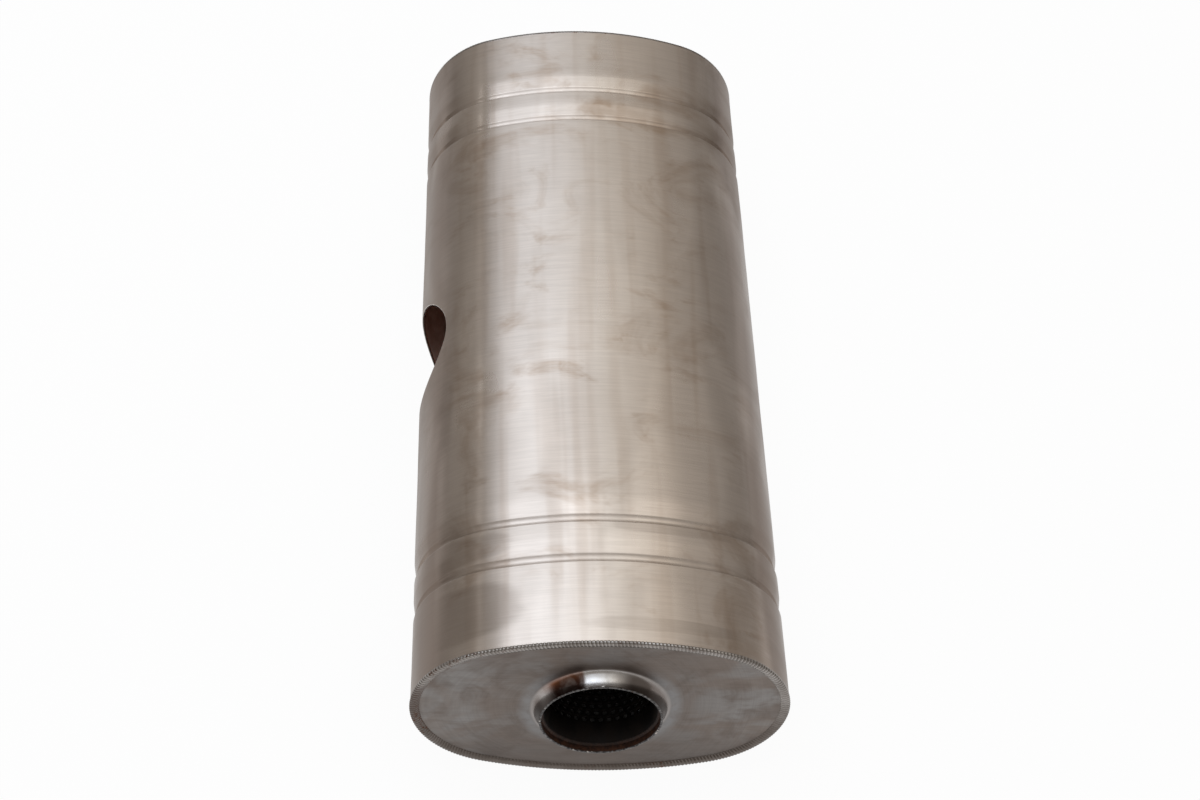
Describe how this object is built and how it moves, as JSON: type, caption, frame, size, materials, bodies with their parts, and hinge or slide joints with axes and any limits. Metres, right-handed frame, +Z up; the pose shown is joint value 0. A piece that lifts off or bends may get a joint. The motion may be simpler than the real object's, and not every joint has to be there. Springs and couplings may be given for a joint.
{
  "type": "muffler",
  "caption": "Oval stainless exhaust muffler with a round side inlet hole, rolled baffle grooves, flat welded ends and a drawn central outlet collar over a perforated core.",
  "frame": {"origin": "under the middle of the whole length and width, on the plane that the case rests on", "axes": "+Y along the case away from the outlet, +X across it away from the inlet hole, +Z up through the broad side"},
  "size_m": [0.2032, 0.4864, 0.127],
  "materials": {
    "case_steel": "brushed stainless steel with light brown staining",
    "plate_steel": "brushed stainless steel with brown heat tint round the collar",
    "weld_metal": "rippled weld bead",
    "core_steel": "heat darkened stainless steel",
    "inner_steel": "unpolished stainless steel",
    "steel_wool": "coarse steel wool",
    "glass_wool": "mineral wool"
  },
  "bodies": {
    "root": {"case": "case_steel", "case_seam_weld": "case_steel", "outlet_end_plate": "plate_steel", "closed_end_plate": "plate_steel", "outlet_end_weld": "weld_metal", "closed_end_weld": "weld_metal", "perforated_core": "core_steel", "core_outlet_weld": "weld_metal", "steel_wool_wrap": "steel_wool", "wool_packing": "glass_wool", "front_baffle": "inner_steel", "return_tube": "inner_steel", "return_tube_weld": "weld_metal", "rear_baffle": "inner_steel", "rear_baffle_weld": "weld_metal", "transfer_tube_left": "inner_steel", "transfer_weld_left": "weld_metal", "transfer_tube_right": "inner_steel", "transfer_weld_right": "weld_metal"}
  },
  "joints": []
}
